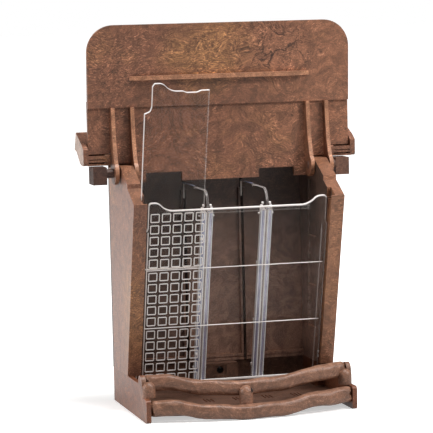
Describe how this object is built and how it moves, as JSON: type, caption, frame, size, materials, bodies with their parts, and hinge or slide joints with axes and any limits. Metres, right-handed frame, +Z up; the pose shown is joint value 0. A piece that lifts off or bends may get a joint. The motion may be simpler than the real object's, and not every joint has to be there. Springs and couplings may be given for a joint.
{
  "type": "hopper bird feeder",
  "caption": "Free-standing seed feeder with divided clear-fronted hopper, mesh front section, sliding window, twig-like perch rails and a hinged roof.",
  "frame": {"origin": "middle of the footprint, on the level of the feet", "axes": "+Z up, +X to the right as a viewer faces the clear front, +Y towards the back panel; the seed tray faces -Y"},
  "size_m": [0.2612, 0.1478, 0.3534],
  "materials": {
    "brown_plastic": "satin, marbled",
    "dark_plastic": "satin, marbled",
    "clear_plastic": "clear, polished",
    "screw_steel": "zinc plated"
  },
  "bodies": {
    "housing": {"base_tray": "brown_plastic", "perch_rail_lower": "brown_plastic", "perch_rail_upper": "brown_plastic", "back_panel": "brown_plastic", "side_panel_left": "brown_plastic", "side_panel_right": "brown_plastic", "rear_roof": "brown_plastic", "front_panel": "clear_plastic", "divider_left": "clear_plastic", "divider_right": "clear_plastic", "housing_screws": "screw_steel", "back_screws": "screw_steel", "rear_roof_screws": "screw_steel"},
    "roof": {"roof_lid": "brown_plastic"},
    "window": {"sliding_window": "clear_plastic"},
    "pin_left": {"hinge_pin_left": "dark_plastic"},
    "pin_right": {"hinge_pin_right": "dark_plastic"}
  },
  "joints": [
    {"name": "roof_hinge", "type": "hinge", "parent": "housing", "child": "roof", "pos_m": [0, 0.0274, 0.218], "axis": [1, 0, 0], "range_deg": [0, 117]},
    {"name": "window_slide", "type": "slide", "parent": "housing", "child": "window", "axis": [0, -0.2588, 0.9659], "range_m": [-0.111, 0]},
    {"name": "left_pin_pull", "type": "slide", "parent": "housing", "child": "pin_left", "axis": [-1, 0, 0], "range_m": [-0.0028, 0.0232]},
    {"name": "right_pin_pull", "type": "slide", "parent": "housing", "child": "pin_right", "axis": [1, 0, 0], "range_m": [0, 0.026]}
  ],
  "couplings": [
    {"joint": "window_slide", "follows": "roof_hinge", "m_per_rad": -0.0543}
  ]
}
